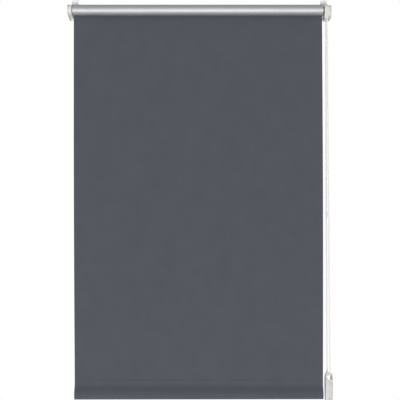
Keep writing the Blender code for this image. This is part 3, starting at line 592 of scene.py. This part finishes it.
def thread(points, sides=6):
    """Points and faces of a thin tube with closed ends along a route."""
    places = []
    for i, place in enumerate(points):
        before, after = points[max(0, i - 1)], points[min(len(points) - 1, i + 1)]
        heading = (after - before).normalized()
        side = heading.cross(Vector((1, 0, 0.1))).normalized()
        other = heading.cross(side)
        for k in range(sides):
            angle = math.tau * k / sides
            places.append(place + THREAD_RADIUS * (math.cos(angle) * side + math.sin(angle) * other))
    faces = grid_faces(len(points), sides, closed_columns=True)
    faces.append(list(range(sides))[::-1])
    faces.append([len(places) - sides + k for k in range(sides)])
    return places, faces


def bead_mesh(name, points, first, pitch, count):
    """Beads a pitch apart along a route, on their thread."""
    places, faces = thread(points)
    for i in range(count):
        place, heading = along(points, first + pitch * i)
        faces += bead_faces(len(places))
        places += bead(place, heading)
    mesh = mesh_of(name, places, faces)
    smooth(mesh, 60)
    return mesh


def bead_chain():
    """The chain in two pieces: the free loop, and the beads that lie in the wheel."""
    on_wheel = wheel_route()
    wheel_length = route_length(on_wheel)
    wheel_beads = 2 * int(wheel_length / 2 / BEAD_PITCH) + 1
    wheel_first = wheel_length / 2 - BEAD_PITCH * (wheel_beads - 1) / 2
    mesh = bead_mesh("beads_on_wheel", on_wheel, wheel_first, BEAD_PITCH, wheel_beads)
    add_piece("beads_on_wheel", mesh, "frame", ["chain_plastic"], ["bead_chain_on_wheel"])

    route = chain_route()
    length = route_length(route)
    first = BEAD_PITCH - wheel_first - GAP
    gaps = round((length - 2 * first) / BEAD_PITCH)
    mesh = bead_mesh("beads_free", route, first, (length - 2 * first) / gaps, gaps + 1)
    chain = add_piece("beads_free", mesh, "chain", ["chain_plastic"], ["bead_chain"])
    return chain, route, length


# ---- chain connector --------------------------------------------------------------------------------
def chain_connector():
    """The snap sleeve that closes the loop: two rounded cups round two beads, with a waist between."""
    middle = (CONNECTOR_LOW + CONNECTOR_HIGH) / 2
    half = (CONNECTOR_HIGH.z - CONNECTOR_LOW.z) / 2
    outer = (CONNECTOR_HIGH.x - CONNECTOR_LOW.x) / 2
    profile = [(0.66, 1.0), (0.86, 0.96), (0.97, 0.86), (1.0, 0.70), (1.0, 0.28), (0.90, 0.18)]
    profile += [(0.90, -0.18), (1.0, -0.28), (1.0, -0.70), (0.97, -0.86), (0.86, -0.96), (0.66, -1.0)]
    profile += [(0.66, -0.92), (0.72, -0.60), (0.72, 0.60), (0.66, 0.92)]
    columns = 24
    points = []
    for share, height in profile:
        for j in range(columns):
            angle = math.tau * j / columns
            spread = outer * share
            points.append((middle.x + spread * math.cos(angle), middle.y + spread * math.sin(angle),
                           middle.z + half * height))
    faces = grid_faces(len(profile), columns, closed_rows=True, closed_columns=True)
    mesh = mesh_of("chain_connector_finished", points, faces)
    smooth(mesh, 40)
    return add_piece("chain_connector_finished", mesh, "chain", ["chain_plastic"], ["chain_connector"])


# ---- everything -------------------------------------------------------------------------------------
free_chain, route, free_length = bead_chain()
connector = chain_connector()
REBUILT = {"cloth_roll", "cloth_sheet", "hem_pocket", "bead_chain", "bead_chain_on_wheel",
           "chain_connector"}
PLAIN = ("spring", "slug", "tube", "pad", "hem_bar", "clip", "wheel")  # only given their materials
SOFTNESS = {"pendant_body": 0.0004, "chain_housing": 0.0005, "left_bracket": 0.0005,
            "right_bracket": 0.0005}
EDGE_SOFTNESS = 0.00025  # of every other finished piece
for name in frame["nodes"]:
    if name in REBUILT:
        continue
    if any(word in name for word in PLAIN):
        obj = frame["nodes"][name]
        obj.data.materials.clear()
        obj.data.materials.append(MATERIALS[SLOTS[name]])
    else:
        finished_copy(name, SOFTNESS.get(name, EDGE_SOFTNESS))

silver_roll()
lead = cloth_lead()
hem = hem_cloth()
sheet = hanging_cloth()
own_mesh(sheet)


# ---- studio -----------------------------------------------------------------------------------------
FLOOR_Z = -2.2
FLOOR_RADIUS = 1.9
SKY_BELOW, SKY_ABOVE = 0.04, 0.56
SKY_COLOUR = (1, 0.995, 0.965, 1)


def area_light(name, place, target, width, height, power):
    """A rectangular lamp at a place, facing a target, that the camera doesn't see."""
    data = bpy.data.lights.new(name, "AREA")
    data.shape = "RECTANGLE"
    data.size, data.size_y = width, height
    data.energy = power
    light = bpy.data.objects.new(name, data)
    light.location = place
    light.rotation_euler = (Vector(target) - Vector(place)).to_track_quat("-Z", "Y").to_euler()
    light.visible_camera = False
    bpy.context.scene.collection.objects.link(light)


def studio():
    """White surroundings for the camera, a dim sky for the light, large soft lamps and a floor."""
    world = bpy.data.worlds.new("studio")
    bpy.context.scene.world = world
    world.use_nodes = True
    tree = world.node_tree
    tree.nodes.clear()
    seen = node(tree, "ShaderNodeBackground", {"Color": (1, 1, 1, 1), "Strength": 1.0})
    direction = node(tree, "ShaderNodeTexCoord").outputs["Generated"]
    parts = node(tree, "ShaderNodeSeparateXYZ", {"Vector": direction}).outputs
    window_side = math_node(tree, "MULTIPLY", parts["Y"], 0.5)
    height = math_node(tree, "ADD", parts["Z"], window_side)
    strength = remap(tree, height, SKY_BELOW, SKY_ABOVE, -0.3, 0.9)
    light = node(tree, "ShaderNodeBackground", {"Color": SKY_COLOUR, "Strength": strength})
    rays = node(tree, "ShaderNodeLightPath").outputs["Is Camera Ray"]
    mix = node(tree, "ShaderNodeMixShader", {0: rays, 1: light.outputs[0], 2: seen.outputs[0]})
    node(tree, "ShaderNodeOutputWorld", {"Surface": mix.outputs[0]})
    area_light("far_softbox", (0, -13, -5.6), (0, 0, -0.45), 6.8, 6.8, 1820)
    area_light("high_softbox", (0, -2.4, 1.0), (0, 0, -0.2), 2.0, 0.8, 7)
    area_light("left_softbox", (-3.0, -0.6, -0.45), (0.3, 0, -0.45), 1.6, 2.0, 20)
    area_light("rear_softbox", (0.4, 2.8, 0.3), (0, 0, -0.4), 2.2, 1.6, 30)

    bpy.ops.mesh.primitive_circle_add(vertices=96, radius=FLOOR_RADIUS, fill_type="NGON",
                                      location=(0, 0, FLOOR_Z))
    floor = bpy.context.object
    floor.name = "studio_floor"
    floor.data.materials.append(moulded("pale_floor", (0.82, 0.82, 0.81), 0.85, 120.0, 0.0001))


studio()
bpy.context.scene.view_settings.view_transform = "Standard"
